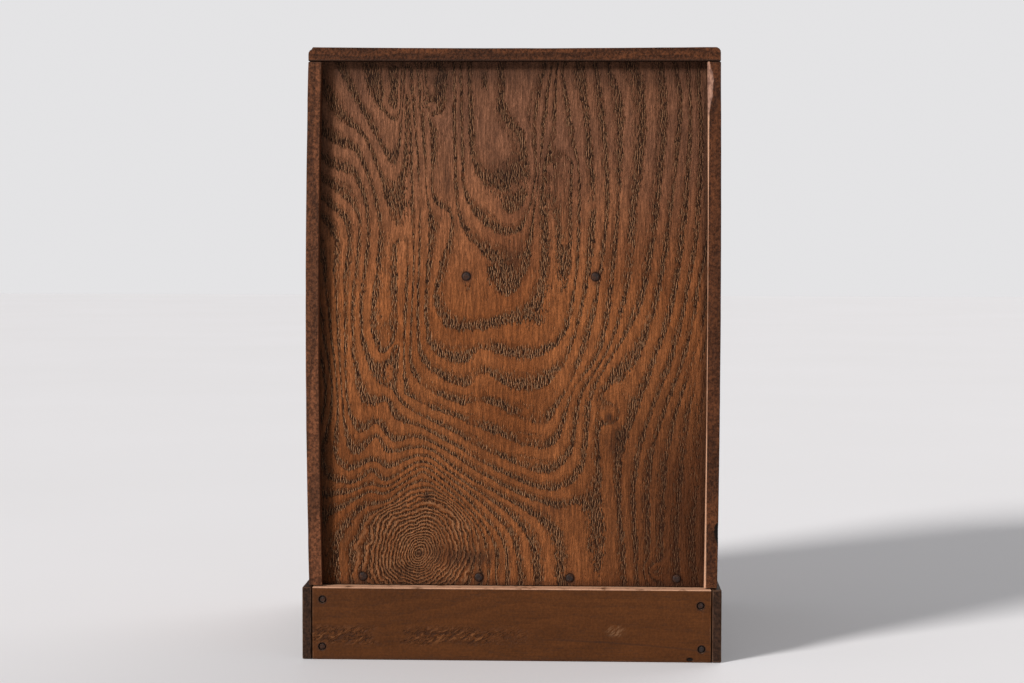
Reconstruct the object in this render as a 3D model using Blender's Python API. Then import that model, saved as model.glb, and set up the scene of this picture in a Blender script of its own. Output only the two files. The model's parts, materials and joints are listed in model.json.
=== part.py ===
"""Upright type case: a small nailed cabinet of type drawers that stands on a low plinth.

Metres, +Z up. The origin is on the floor under the middle of the whole object. The back panel faces -Y
and the drawers open towards +Y. Left and right are as seen by someone who looks at the back, along +Y.
"""
import math

import bmesh
import bpy
from mathutils import Matrix, Vector

# ---------------------------------------------------------------- driving dimensions
CASE_WIDTH = 0.212
CASE_DEPTH = 0.182
TOTAL_HEIGHT = 0.317
BOARD = 0.007
TOP_THICKNESS = 0.0072
GAP = 0.0003  # between pieces that touch

PLINTH_HEIGHT = 0.0379
PLINTH_OVERHANG = 0.0028  # past the case at the back and the front
PLINTH_WIDTH = 0.2175
PLINTH_BOARD = 0.005
PLINTH_BACK_BOARD = 0.0095  # reaches in under the back panel
CASE_OFFSET_X = 0.00055  # the case stands a little off the plinth's centre
BLOCK_WIDTH = 0.012
BLOCK_DEPTH = 0.018
BLOCK_HEIGHT = 0.035

SIDE_BOW = {-1: 0.0017, 1: 0.0009}  # how far each side has warped outwards at mid height
BOW_STEPS = 10
TOP_CORNER_RADIUS = 0.003
TOP_CORNER_STEPS = 4

PANEL_THICKNESS = 0.005
PANEL_RECESS = 0.006  # from the back edges of the sides to the panel's face
GROOVE_DEPTH = 0.0035
TONGUE = 0.003  # how far the panel stands in its grooves
SHELF_HEIGHT = 0.1992  # middle of the shelf
DADO_DEPTH = 0.0025
SHELF_SETBACK = 0.0004
RUNNER_WIDTH = 0.0085
RUNNER_HEIGHT = 0.004
RUNNER_RISE = 0.001  # top of a runner above the bottom of its bay
RUNNER_FIT = 0.0002  # extra room for a straight runner against a bowed side

FRONT_THICKNESS = 0.008
FRONT_LAP = 0.0035  # the part of the front that covers the ends of the drawer sides
FRONT_GAP = 0.00045  # above and below each front
FRONT_SIDE_GAP = 0.0006
BLOCK_DROP = 0.0015  # the thick part of the front is this much lower than the sides
DRAWER_HALF_WIDTH = 0.0978
DRAWER_SIDE = 0.005
DRAWER_BACK = 0.005
DRAWER_BOTTOM = 0.0035
DRAWER_BACK_DROP = 0.003  # the back is this much lower than the sides
DRAWER_CLEARANCE = 0.0008
SLAT_THICKNESS = 0.003
SLAT_DROP = 0.008  # the slats are this much lower than the sides

KNOB_REACH = 0.0140
KNOB_RADIUS = 0.0058
KNOB_NECK = 0.0026
KNOB_SEGMENTS = 24
ROSE_RADIUS = 0.0075  # round foot of the knob
SPINDLE_RADIUS = 0.0015
SPINDLE_SEGMENTS = 12
SPINDLE_TAIL = 0.0016  # how far the riveted end stands out inside the drawer
RIVET_RADIUS = 0.0024

PANEL_NAIL_HEAD = 0.0022
PLINTH_NAIL_HEAD = 0.0018
NAIL_HEAD_THICKNESS = 0.0009
NAIL_SHANK = 0.00085
NAIL_SEGMENTS = 10
PANEL_NAIL_LENGTH = 0.018
PLINTH_NAIL_LENGTH = 0.020
PANEL_NAIL_PROUD = 0.0003
PLINTH_NAIL_PROUD = -0.0005  # below the face of the board

# ---------------------------------------------------------------- derived places
INNER_HALF = CASE_WIDTH / 2 - BOARD
PLINTH_BACK_Y = -(PLINTH_OVERHANG + CASE_DEPTH + KNOB_REACH) / 2
BACK_Y = PLINTH_BACK_Y + PLINTH_OVERHANG
FRONT_Y = BACK_Y + CASE_DEPTH
PLINTH_FRONT_Y = FRONT_Y + PLINTH_OVERHANG
PANEL_BACK_Y = BACK_Y + PANEL_RECESS
PANEL_FRONT_Y = PANEL_BACK_Y + PANEL_THICKNESS
CASE_BOTTOM_Z = PLINTH_HEIGHT + GAP
TOP_UNDER_Z = TOTAL_HEIGHT - TOP_THICKNESS
SIDE_TOP_Z = TOP_UNDER_Z - GAP
BOTTOM_BOARD_TOP_Z = CASE_BOTTOM_Z + BOARD
SHELF_LOW_Z = SHELF_HEIGHT - BOARD / 2
SHELF_TOP_Z = SHELF_HEIGHT + BOARD / 2
REAR_Y = PANEL_FRONT_Y + GAP  # nothing inside the case reaches further back
FRONT_INNER_Y = FRONT_Y - FRONT_THICKNESS
LAP_Y = FRONT_Y - FRONT_LAP

# The bays from the top down: two shallow ones over the shelf, two deep ones under it.
UPPER_PITCH = (TOP_UNDER_Z - SHELF_TOP_Z) / 2
LOWER_PITCH = (SHELF_LOW_Z - BOTTOM_BOARD_TOP_Z) / 2
BAYS = (
    {"low": SHELF_TOP_Z + UPPER_PITCH, "high": TOP_UNDER_Z, "runners": "upper", "cross_slats": 2},
    {"low": SHELF_TOP_Z, "high": SHELF_TOP_Z + UPPER_PITCH, "runners": None, "cross_slats": 2},
    {"low": BOTTOM_BOARD_TOP_Z + LOWER_PITCH, "high": SHELF_LOW_Z, "runners": "lower", "cross_slats": 0},
    {"low": BOTTOM_BOARD_TOP_Z, "high": BOTTOM_BOARD_TOP_Z + LOWER_PITCH, "runners": None, "cross_slats": 0},
)


# ---------------------------------------------------------------- materials
def material(name, colour, roughness, metallic=0.0):
    """A plain Principled material."""
    made = bpy.data.materials.new(name)
    made.use_nodes = True
    shader = made.node_tree.nodes["Principled BSDF"]
    shader.inputs["Base Color"].default_value = (*colour, 1.0)
    shader.inputs["Roughness"].default_value = roughness
    shader.inputs["Metallic"].default_value = metallic
    made.diffuse_color = (*colour, 1.0)
    return made


# ---------------------------------------------------------------- mesh helpers
def loft(bm, rings):
    """Joins closed loops of equal length into one closed body with flat ends."""
    loops = [[bm.verts.new(point) for point in ring] for ring in rings]
    for low, high in zip(loops, loops[1:]):
        for i in range(len(low)):
            j = (i + 1) % len(low)
            bm.faces.new((low[i], low[j], high[j], high[i]))
    bm.faces.new(reversed(loops[0]))
    bm.faces.new(loops[-1])


def box(bm, low, high):
    """A box between two corners."""
    corners = [(low[0], low[1]), (high[0], low[1]), (high[0], high[1]), (low[0], high[1])]
    loft(bm, [[(x, y, z) for x, y in corners] for z in (low[2], high[2])])


def turned(bm, profile, segments, place):
    """A turned body: profile holds (radius, height) pairs from the bottom up, place moves it."""
    turns = [2 * math.pi * k / segments for k in range(segments)]
    rings = []
    for radius, height in profile:
        rings.append([place @ Vector((radius * math.cos(t), radius * math.sin(t), height)) for t in turns])
    loft(bm, rings)


def along(point, direction):
    """The matrix that turns +Z to a direction and moves zero to a point."""
    return Matrix.Translation(point) @ Vector(direction).to_track_quat("Z", "Y").to_matrix().to_4x4()


def piece(name, bm, look, parent=None):
    """Makes the named object from a mesh in world coordinates, with its origin at its middle."""
    bmesh.ops.recalc_face_normals(bm, faces=bm.faces)
    low = Vector([min(v.co[i] for v in bm.verts) for i in range(3)])
    high = Vector([max(v.co[i] for v in bm.verts) for i in range(3)])
    middle = (low + high) / 2
    bmesh.ops.translate(bm, verts=bm.verts, vec=-middle)
    mesh = bpy.data.meshes.new(name)
    bm.to_mesh(mesh)
    bm.free()
    mesh.materials.append(look)
    made = bpy.data.objects.new(name, mesh)
    bpy.context.scene.collection.objects.link(made)
    made.parent = parent
    made.location = middle - parent.location if parent else middle
    return made


def board(name, low, high, look, parent=None):
    """A plain rectangular board between two corners."""
    bm = bmesh.new()
    box(bm, low, high)
    return piece(name, bm, look, parent)


def cut(target, bm):
    """Takes the bodies in bm, in world coordinates, out of target."""
    bmesh.ops.recalc_face_normals(bm, faces=bm.faces)
    mesh = bpy.data.meshes.new(target.name + "_cutter")
    bm.to_mesh(mesh)
    bm.free()
    cutter = bpy.data.objects.new(mesh.name, mesh)
    bpy.context.scene.collection.objects.link(cutter)
    cutter.hide_render = True
    cutter.display_type = "WIRE"
    modifier = target.modifiers.new(cutter.name, "BOOLEAN")
    modifier.operation = "DIFFERENCE"
    modifier.solver = "EXACT"
    modifier.object = cutter


def cut_box(target, low, high):
    """Takes a box out of target; the corners may come in either order."""
    bm = bmesh.new()
    box(bm, [min(a, b) for a, b in zip(low, high)], [max(a, b) for a, b in zip(low, high)])
    cut(target, bm)


def smooth(made):
    """Smooth shading with sharp edges kept."""
    made.data.shade_smooth()
    made.data.set_sharp_from_angle(angle=math.radians(40))


# ---------------------------------------------------------------- the case
def bow(side, z):
    """How far a side board stands outwards at height z."""
    middle = (CASE_BOTTOM_Z + SIDE_TOP_Z) / 2
    half = (SIDE_TOP_Z - CASE_BOTTOM_Z) / 2
    return SIDE_BOW[side] * (1 - min(1.0, abs(z - middle) / half) ** 2)


def inner_x(side, z):
    """X of a side board's inner face at height z."""
    return CASE_OFFSET_X + side * (INNER_HALF + bow(side, z))


def side_board(name, side, look):
    """A bowed side with a groove for the back panel and a dado for the shelf."""
    bm = bmesh.new()
    rings = []
    for step in range(BOW_STEPS + 1):
        z = CASE_BOTTOM_Z + (SIDE_TOP_Z - CASE_BOTTOM_Z) * step / BOW_STEPS
        inner = inner_x(side, z)
        outer = inner + side * BOARD
        rings.append([(inner, BACK_Y, z), (outer, BACK_Y, z), (outer, FRONT_Y, z), (inner, FRONT_Y, z)])
    loft(bm, rings)
    made = piece(name, bm, look)
    inside = CASE_OFFSET_X + side * (INNER_HALF - 0.004)
    cut_box(
        made,
        (inside, PANEL_BACK_Y - GAP, CASE_BOTTOM_Z - 0.002),
        (CASE_OFFSET_X + side * (INNER_HALF + GROOVE_DEPTH), PANEL_FRONT_Y + GAP, SIDE_TOP_Z + 0.002),
    )
    cut_box(
        made,
        (inside, PANEL_FRONT_Y + GAP, SHELF_LOW_Z - GAP),
        (inner_x(side, SHELF_HEIGHT) + side * DADO_DEPTH, FRONT_Y + 0.002, SHELF_TOP_Z + GAP),
    )
    return made


def top_board(look):
    """The top lies over both sides, with rounded upper corners and a groove for the panel."""
    half = CASE_WIDTH / 2
    outline = [(-half, TOP_UNDER_Z), (half, TOP_UNDER_Z)]
    for centre, start in ((half - TOP_CORNER_RADIUS, 0.0), (TOP_CORNER_RADIUS - half, math.pi / 2)):
        for step in range(TOP_CORNER_STEPS + 1):
            turn = start + math.pi / 2 * step / TOP_CORNER_STEPS
            x = centre + TOP_CORNER_RADIUS * math.cos(turn)
            z = TOTAL_HEIGHT - TOP_CORNER_RADIUS + TOP_CORNER_RADIUS * math.sin(turn)
            outline.append((x, z))
    bm = bmesh.new()
    loft(bm, [[(CASE_OFFSET_X + x, y, z) for x, z in outline] for y in (BACK_Y, FRONT_Y)])
    made = piece("top_board", bm, look)
    reach = INNER_HALF + GROOVE_DEPTH
    cut_box(
        made,
        (CASE_OFFSET_X - reach, PANEL_BACK_Y - GAP, TOP_UNDER_Z - 0.002),
        (CASE_OFFSET_X + reach, PANEL_FRONT_Y + GAP, TOP_UNDER_Z + GROOVE_DEPTH),
    )
    return made


def shelf_board(look):
    """The shelf between the two banks of drawers, housed in the sides."""
    reach = DADO_DEPTH - GAP
    return board(
        "middle_shelf",
        (inner_x(-1, SHELF_HEIGHT) - reach, REAR_Y, SHELF_LOW_Z),
        (inner_x(1, SHELF_HEIGHT) + reach, FRONT_Y - SHELF_SETBACK, SHELF_TOP_Z),
        look,
    )


def bottom_board(look):
    """The bottom of the case, held between the sides."""
    reach = INNER_HALF - GAP
    return board(
        "bottom_board",
        (CASE_OFFSET_X - reach, REAR_Y, CASE_BOTTOM_Z),
        (CASE_OFFSET_X + reach, FRONT_Y, BOTTOM_BOARD_TOP_Z),
        look,
    )


def back_panel(look):
    """The single wide board that closes the back."""
    reach = INNER_HALF + TONGUE
    return board(
        "back_panel",
        (CASE_OFFSET_X - reach, PANEL_BACK_Y, CASE_BOTTOM_Z),
        (CASE_OFFSET_X + reach, PANEL_FRONT_Y, TOP_UNDER_Z + TONGUE),
        look,
    )


def runner(bank, side, bay, look):
    """One strip along a side of the case, which carries the drawer above it."""
    top = bay["low"] + RUNNER_RISE
    nearest = min(abs(inner_x(side, z) - CASE_OFFSET_X) for z in (top, top - RUNNER_HEIGHT))
    outer = nearest - GAP - RUNNER_FIT
    x = sorted(CASE_OFFSET_X + side * across for across in (outer, INNER_HALF - RUNNER_WIDTH))
    hand = "left" if side < 0 else "right"
    low = (x[0], REAR_Y, top - RUNNER_HEIGHT)
    board(f"{bank}_{hand}_runner", low, (x[1], FRONT_INNER_Y - 0.0005, top), look)


# ---------------------------------------------------------------- the plinth
def plinth(look, block_look):
    """Four boards and four corner blocks. Returns the back board and its two blocks, which take nails."""
    half = PLINTH_WIDTH / 2
    inner = half - PLINTH_BOARD
    lap_y = PLINTH_FRONT_Y - PLINTH_BOARD
    board("plinth_left", (-half, PLINTH_BACK_Y, 0), (-inner, lap_y - GAP, PLINTH_HEIGHT), look)
    board("plinth_right", (inner, PLINTH_BACK_Y, 0), (half, lap_y - GAP, PLINTH_HEIGHT), look)
    board("plinth_front", (-half, lap_y, 0), (half, PLINTH_FRONT_Y, PLINTH_HEIGHT), look)
    back = board(
        "plinth_back",
        (GAP - inner, PLINTH_BACK_Y, 0),
        (inner - GAP, PLINTH_BACK_Y + PLINTH_BACK_BOARD, PLINTH_HEIGHT),
        look,
    )
    nailed = {}
    for side, hand in ((-1, "left"), (1, "right")):
        x = sorted((side * (inner - GAP), side * (inner - GAP - BLOCK_WIDTH)))
        back_y = PLINTH_BACK_Y + PLINTH_BACK_BOARD + GAP
        for end, y in (("back", back_y), ("front", lap_y - GAP - BLOCK_DEPTH)):
            block = board(
                f"plinth_block_{end}_{hand}",
                (x[0], y, 0),
                (x[1], y + BLOCK_DEPTH, BLOCK_HEIGHT),
                block_look,
            )
            if end == "back":
                nailed[side] = block
    return back, nailed


# ---------------------------------------------------------------- nails
def nail(name, point, length, head, proud, held, look):
    """One flat-headed nail driven along +Y at point, and its seat in each board it goes through."""
    place = along(point, (0, -1, 0))
    under = proud - NAIL_HEAD_THICKNESS
    body = [
        (NAIL_SHANK * 0.35, -length),
        (NAIL_SHANK, -length + 2 * NAIL_SHANK),
        (NAIL_SHANK, under),
        (head, under),
        (head, proud - 0.00025),
        (head * 0.7, proud),
    ]
    bm = bmesh.new()
    turned(bm, body, NAIL_SEGMENTS, place)
    smooth(piece(name, bm, look))
    seat = [
        (NAIL_SHANK + GAP, -length - GAP),
        (NAIL_SHANK + GAP, under - GAP),
        (head + GAP, under - GAP),
        (head + GAP, 0.002),
    ]
    for target in held:
        cutter = bmesh.new()
        turned(cutter, seat, NAIL_SEGMENTS, place)
        cut(target, cutter)


def back_nails(panel, shelf, bottom, look):
    """Two nails through the panel into the shelf, and four into the bottom board."""
    shelf_x = {"left": -0.0240, "right": 0.0429}
    for hand, x in shelf_x.items():
        name = f"panel_nail_shelf_{hand}"
        point = (x, PANEL_BACK_Y, SHELF_HEIGHT)
        nail(name, point, PANEL_NAIL_LENGTH, PANEL_NAIL_HEAD, PANEL_NAIL_PROUD, (panel, shelf), look)
    for number, x in enumerate((-0.0778, -0.0171, 0.0303, 0.0858), start=1):
        name = f"panel_nail_bottom_{number}"
        point = (x, PANEL_BACK_Y, CASE_BOTTOM_Z + 0.0040)
        nail(name, point, PANEL_NAIL_LENGTH, PANEL_NAIL_HEAD, PANEL_NAIL_PROUD, (panel, bottom), look)


def plinth_nails(back, blocks, look):
    """Four nails through the back board of the plinth, two into each corner block."""
    places = (
        ("upper_left", -1, -0.0981, 0.0314),
        ("lower_left", -1, -0.0983, 0.0068),
        ("upper_right", 1, 0.0978, 0.0296),
        ("lower_right", 1, 0.0984, 0.0070),
    )
    for where, side, x, z in places:
        name = f"plinth_nail_{where}"
        point = (x, PLINTH_BACK_Y, z)
        nail(name, point, PLINTH_NAIL_LENGTH, PLINTH_NAIL_HEAD, PLINTH_NAIL_PROUD, (back, blocks[side]), look)


# ---------------------------------------------------------------- the drawers
def drawer_front(name, bay, floor, block_top, look, parent):
    """The front: a slab that fills the bay and laps the sides, and a block that fits between them."""
    low = bay["low"] + FRONT_GAP
    high = bay["high"] - FRONT_GAP
    block = DRAWER_HALF_WIDTH - DRAWER_SIDE - GAP
    slab = [
        (inner_x(-1, low) + FRONT_SIDE_GAP, low),
        (inner_x(1, low) - FRONT_SIDE_GAP, low),
        (inner_x(1, high) - FRONT_SIDE_GAP, high),
        (inner_x(-1, high) + FRONT_SIDE_GAP, high),
    ]
    inner = [
        (CASE_OFFSET_X - block, floor),
        (CASE_OFFSET_X + block, floor),
        (CASE_OFFSET_X + block, block_top),
        (CASE_OFFSET_X - block, block_top),
    ]
    outlines = ((FRONT_Y, slab), (LAP_Y, slab), (LAP_Y, inner), (FRONT_INNER_Y, inner))
    bm = bmesh.new()
    loft(bm, [[(x, y, z) for x, z in outline] for y, outline in outlines])
    made = piece(name, bm, look, parent)
    middle = (low + high) / 2
    cutter = bmesh.new()
    hole = SPINDLE_RADIUS + GAP
    place = along((CASE_OFFSET_X, FRONT_INNER_Y, middle), (0, 1, 0))
    turned(cutter, [(hole, -0.002), (hole, FRONT_THICKNESS + 0.002)], SPINDLE_SEGMENTS, place)
    cut(made, cutter)
    return middle


def drawer_knob(name, middle, look, parent):
    """The turned knob with its round foot, and its spindle riveted over inside the drawer."""
    inside = -FRONT_THICKNESS - GAP
    spindle = [
        (RIVET_RADIUS * 0.6, inside - SPINDLE_TAIL),
        (RIVET_RADIUS, inside - SPINDLE_TAIL * 0.6),
        (RIVET_RADIUS, inside),
        (SPINDLE_RADIUS, inside),
        (SPINDLE_RADIUS, GAP),
    ]
    handle = [
        (ROSE_RADIUS, GAP),
        (ROSE_RADIUS, GAP + 0.0007),
        (ROSE_RADIUS * 0.86, GAP + 0.0012),
        (KNOB_NECK * 1.4, GAP + 0.0016),
        (KNOB_NECK, 0.0033),
        (KNOB_NECK, 0.0050),
        (KNOB_RADIUS * 0.82, 0.0066),
        (KNOB_RADIUS, 0.0086),
        (KNOB_RADIUS * 0.97, 0.0104),
        (KNOB_RADIUS * 0.80, 0.0122),
        (KNOB_RADIUS * 0.50, 0.0134),
        (KNOB_RADIUS * 0.18, KNOB_REACH),
    ]
    bm = bmesh.new()
    turned(bm, spindle + handle, KNOB_SEGMENTS, along((CASE_OFFSET_X, FRONT_Y, middle), (0, 1, 0)))
    smooth(piece(name, bm, look, parent))


def slats(name, count, low, high, look, parent):
    """A long slat from side to side, and cross slats halved over it, so that they part the drawer."""
    inner = DRAWER_HALF_WIDTH - DRAWER_SIDE - GAP
    rear = REAR_Y + DRAWER_BACK + GAP
    near = FRONT_INNER_Y - GAP
    middle = (rear + near) / 2
    half = SLAT_THICKNESS / 2
    notch = half + GAP
    waist = (low + high) / 2
    long_slat = board(
        f"{name}_long_slat",
        (CASE_OFFSET_X - inner, middle - half, low),
        (CASE_OFFSET_X + inner, middle + half, high),
        look,
        parent,
    )
    for k in range(count):
        x = CASE_OFFSET_X + inner * (2 * (k + 1) / (count + 1) - 1)
        part = f"{name}_cross_slat_{k + 1}"
        cross = board(part, (x - half, rear, low), (x + half, near, high), look, parent)
        under = (x - 0.01, middle - notch, low - 0.002)
        over = (x - notch, middle - 0.01, waist - GAP / 2)
        cut_box(cross, under, (x + 0.01, middle + notch, waist + GAP / 2))
        cut_box(long_slat, over, (x + notch, middle + 0.01, high + 0.002))


def drawer(number, bay, looks):
    """One drawer: front, sides, back, bottom, slats and knob, under an empty on its slide."""
    name = f"drawer_{number}"
    low = bay["low"] + GAP + (RUNNER_RISE if bay["runners"] else 0.0)
    carrier = bpy.data.objects.new(name + "_slide", None)
    bpy.context.scene.collection.objects.link(carrier)
    carrier.location = (CASE_OFFSET_X, FRONT_Y, low)

    top = bay["high"] + RUNNER_RISE - RUNNER_HEIGHT - DRAWER_CLEARANCE
    floor = low + DRAWER_BOTTOM + GAP
    side_front = LAP_Y - GAP
    inner = DRAWER_HALF_WIDTH - DRAWER_SIDE
    middle = drawer_front(name + "_front", bay, floor, top - BLOCK_DROP, looks["front"], carrier)
    for side, hand in ((-1, "left"), (1, "right")):
        x = sorted(CASE_OFFSET_X + side * across for across in (DRAWER_HALF_WIDTH, inner))
        board(f"{name}_{hand}", (x[0], REAR_Y, floor), (x[1], side_front, top), looks["inside"], carrier)
    board(
        name + "_back",
        (CASE_OFFSET_X - inner + GAP, REAR_Y, floor),
        (CASE_OFFSET_X + inner - GAP, REAR_Y + DRAWER_BACK, top - DRAWER_BACK_DROP),
        looks["inside"],
        carrier,
    )
    board(
        name + "_bottom",
        (CASE_OFFSET_X - DRAWER_HALF_WIDTH, REAR_Y, low),
        (CASE_OFFSET_X + DRAWER_HALF_WIDTH, side_front, low + DRAWER_BOTTOM),
        looks["inside"],
        carrier,
    )
    slats(name, bay["cross_slats"], floor, top - SLAT_DROP, looks["inside"], carrier)
    drawer_knob(name + "_knob", middle, looks["brass"], carrier)


def clear_scene():
    """Removes whatever the file holds."""
    for old in list(bpy.data.objects):
        bpy.data.objects.remove(old)


def main():
    clear_scene()
    case_wood = material("case_wood", (0.115, 0.045, 0.020), 0.60)
    panel_wood = material("panel_wood", (0.230, 0.085, 0.032), 0.55)
    plinth_wood = material("plinth_wood", (0.130, 0.052, 0.020), 0.65)
    front_wood = material("drawer_front_wood", (0.200, 0.078, 0.030), 0.55)
    inside_wood = material("drawer_wood", (0.420, 0.240, 0.110), 0.70)
    iron = material("nail_iron", (0.060, 0.050, 0.048), 0.55, 0.9)
    brass = material("knob_brass", (0.400, 0.270, 0.100), 0.40, 0.9)

    side_board("left_side", -1, case_wood)
    side_board("right_side", 1, case_wood)
    top_board(case_wood)
    shelf = shelf_board(case_wood)
    bottom = bottom_board(case_wood)
    panel = back_panel(panel_wood)
    back, blocks = plinth(plinth_wood, inside_wood)
    back_nails(panel, shelf, bottom, iron)
    plinth_nails(back, blocks, iron)
    looks = {"front": front_wood, "inside": inside_wood, "brass": brass}
    for number, bay in enumerate(BAYS, start=1):
        if bay["runners"]:
            for side in (-1, 1):
                runner(bay["runners"], side, bay, inside_wood)
        drawer(number, bay, looks)


main()
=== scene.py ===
"""The finished look of the type case, seen from behind on a pale studio floor.

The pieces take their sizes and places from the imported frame. The wooden nodes are replaced
by boards with worn arrises and the nails by forged ones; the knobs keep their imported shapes
and are given aged brass. The back panel carries a figured grain, a smooth field of growth
rings bent through the lines below.
Lengths are in metres, except where a name or a comment says millimetres.
"""

import json
import math

import bmesh
import bpy
import numpy as np
from mathutils import Matrix, Vector, noise

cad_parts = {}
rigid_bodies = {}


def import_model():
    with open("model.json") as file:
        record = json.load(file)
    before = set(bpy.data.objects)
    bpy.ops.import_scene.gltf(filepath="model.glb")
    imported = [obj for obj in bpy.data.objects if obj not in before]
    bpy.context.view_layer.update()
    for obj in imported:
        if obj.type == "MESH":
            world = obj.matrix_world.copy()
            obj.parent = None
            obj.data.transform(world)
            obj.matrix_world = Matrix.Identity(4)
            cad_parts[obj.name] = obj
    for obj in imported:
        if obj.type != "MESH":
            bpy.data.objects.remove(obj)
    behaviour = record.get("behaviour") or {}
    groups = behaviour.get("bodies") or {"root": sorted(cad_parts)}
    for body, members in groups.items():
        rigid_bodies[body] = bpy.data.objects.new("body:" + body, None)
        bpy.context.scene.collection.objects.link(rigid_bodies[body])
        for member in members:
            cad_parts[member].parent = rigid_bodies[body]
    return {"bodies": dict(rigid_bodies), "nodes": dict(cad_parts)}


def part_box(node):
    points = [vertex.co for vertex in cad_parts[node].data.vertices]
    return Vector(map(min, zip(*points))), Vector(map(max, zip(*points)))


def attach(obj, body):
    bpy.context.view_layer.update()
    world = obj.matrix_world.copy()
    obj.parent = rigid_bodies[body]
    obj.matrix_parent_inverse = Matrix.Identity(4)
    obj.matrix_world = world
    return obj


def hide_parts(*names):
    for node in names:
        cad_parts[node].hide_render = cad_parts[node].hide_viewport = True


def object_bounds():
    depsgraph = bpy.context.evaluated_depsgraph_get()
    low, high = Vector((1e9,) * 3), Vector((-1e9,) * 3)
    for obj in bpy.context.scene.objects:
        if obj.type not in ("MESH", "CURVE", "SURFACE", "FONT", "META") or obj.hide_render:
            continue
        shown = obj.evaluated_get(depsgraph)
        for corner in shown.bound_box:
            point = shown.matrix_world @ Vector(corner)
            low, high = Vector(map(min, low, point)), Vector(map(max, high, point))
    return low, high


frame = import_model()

CAD_LOW, CAD_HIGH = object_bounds()
SIDE_THICKNESS = 0.007
MM = 0.001
GRAIN_AXES = {"x": 0, "y": 1, "z": 2}

# ---------------------------------------------------------------- grain of the back panel
# These lines hold the figure. A row has a line's ring number, which falls towards the pith at
# the lower left, then its points: x from the middle of the carcass and z from the floor, in
# mm. The rings that have no line here follow from their neighbours.
GROWTH_LINES = (
    # the tongue at the top, and the nest hanging round it
    (24, ((-14, 308), (-14, 296))),
    (23, ((-24, 308), (-21, 256), (-8, 244), (6, 247), (6, 272), (-4, 286), (-5, 308))),
    (22, ((-28, 308), (-27, 268), (-25, 240), (-12, 224), (4, 223), (12, 250), (12, 280), (17, 308))),
    (21, ((-31, 308), (-31, 262), (-28, 228), (-14, 208), (-7, 190), (7, 200), (12, 240), (20, 306))),
    (21, ((-46, 306), (-45, 287), (-40, 282), (-35, 287), (-33, 306))),
    (21.3, ((-40, 306), (-40, 293))),
    (20, ((21, 258), (23, 214), (26, 192), (30, 202), (31, 258))),
    (20.5, ((26, 258), (27, 216))),
    (20, ((-48, 306), (-43, 272), (-42, 240), (-32, 229), (-38, 205), (-41, 188), (-35, 174),
          (-20, 171), (6, 176), (13, 173), (18, 202), (18, 256))),
    # the waves under it
    (19, ((-50, 306), (-46, 255), (-44, 222), (-46, 180), (-42, 161), (-26, 154), (-16, 161),
          (0, 157), (19, 160), (31, 181), (35, 245), (26, 305))),
    (18, ((-54, 306), (-49, 240), (-50, 172), (-45, 152), (-25, 142), (-16, 149), (0, 141),
          (18, 143), (33, 169), (43, 230), (37, 306))),
    (17, ((-54, 290), (-53, 240), (-52, 205), (-54, 157), (-51, 147), (-44, 140), (-25, 132),
          (-17, 134), (10, 124), (21, 127), (40, 169), (49, 225), (49, 264), (44, 306))),
    (16, ((-55, 216), (-57, 148), (-51, 135), (-26, 124), (5, 112), (23, 113), (32, 140), (49, 173),
          (57, 277), (50, 308))),
    (14, ((-84, 158), (-80, 138), (-72, 131), (-66, 134), (-60, 124), (-45, 119), (-2, 95),
          (22, 88), (37, 100), (43, 141), (68, 189), (79, 270), (78, 306))),
    # the folds down the left edge
    (19, ((-78, 308), (-73, 291), (-60, 280), (-57, 306))),
    (19.5, ((-68, 306), (-66, 294))),
    (18, ((-89, 303), (-76, 279), (-64, 258), (-59, 262), (-56, 306))),
    (17, ((-91, 281), (-76, 268), (-62, 227), (-56, 230), (-55, 255))),
    (16.5, ((-64, 220), (-65, 200), (-64, 181))),
    (16, ((-91, 267), (-80, 260), (-70, 225), (-74, 175), (-68, 159), (-61, 167), (-60, 178))),
    (15, ((-91, 254), (-82, 250), (-76, 225), (-80, 175), (-72, 145), (-64, 144), (-61, 162))),
    (14, ((-92, 243), (-81, 230), (-82, 200))),
    (13, ((-88, 200), (-87, 135), (-79, 118), (-71, 122), (-62, 113), (-50, 115), (-38, 110),
          (-5, 90), (22, 79), (37, 78), (42, 46))),
    # down to the swirl
    (12, ((-91, 160), (-87, 114), (-80, 107), (-71, 115), (-65, 107), (-45, 109), (-26, 96),
          (17, 69), (23, 42))),
    (10, ((-94, 92), (-82, 91), (-73, 97), (-66, 92), (-48, 102), (-36, 96), (-14, 79), (0, 62),
          (3, 42))),
    (8, ((-93, 75), (-75, 86), (-67, 85), (-50, 95), (-44, 95), (-24, 79), (-10, 60), (-9, 41))),
    (6, ((-83, 42), (-82, 58), (-75, 73), (-63, 80), (-50, 88), (-38, 86), (-20, 68), (-17, 42))),
    # up the right side
    (13, ((46, 47), (48, 68), (46, 133), (63, 152), (77, 195), (87, 280), (85, 306))),
    (12, ((60, 42), (57, 100), (69, 140), (85, 192), (92, 265), (91, 306))),
    (10, ((72, 45), (73, 105), (90, 159), (98, 200))),
    (8, ((88, 88), (92, 128), (98, 156))),
)
PITH = (-48.5, 54.5)  # mm, as the growth lines are
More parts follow.
